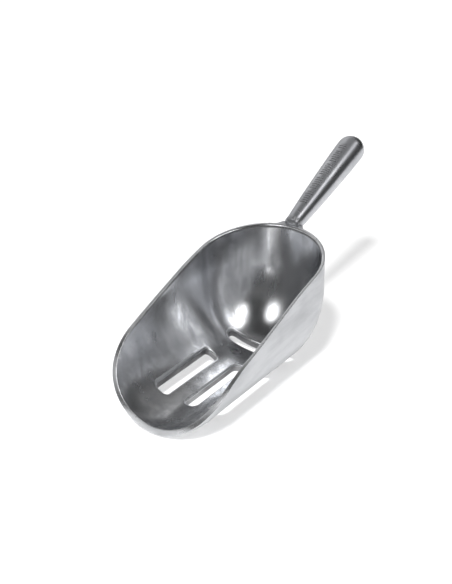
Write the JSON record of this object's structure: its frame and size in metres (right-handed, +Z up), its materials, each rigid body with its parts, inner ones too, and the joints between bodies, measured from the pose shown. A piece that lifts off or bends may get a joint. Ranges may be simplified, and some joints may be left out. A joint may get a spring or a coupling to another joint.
{
  "type": "ice scoop",
  "caption": "Cast aluminium ice scoop: round-bottomed bowl open at the top and front, drain slots through its floor, and a tapered round handle on the back rim.",
  "frame": {"origin": "on the surface the scoop rests on, in its middle plane, under the vertical axis of the bowl's round back", "axes": "+Y from the lip to the handle, +X to the right seen from the lip, +Z up"},
  "size_m": [0.078, 0.2232, 0.1086],
  "materials": {
    "bowl_casting": "polished inside, satin outside",
    "handle_casting": "polished",
    "weld_metal": "dressed smooth"
  },
  "bodies": {
    "root": {"bowl": "bowl_casting", "handle": "handle_casting", "handle_weld": "weld_metal"}
  },
  "joints": []
}
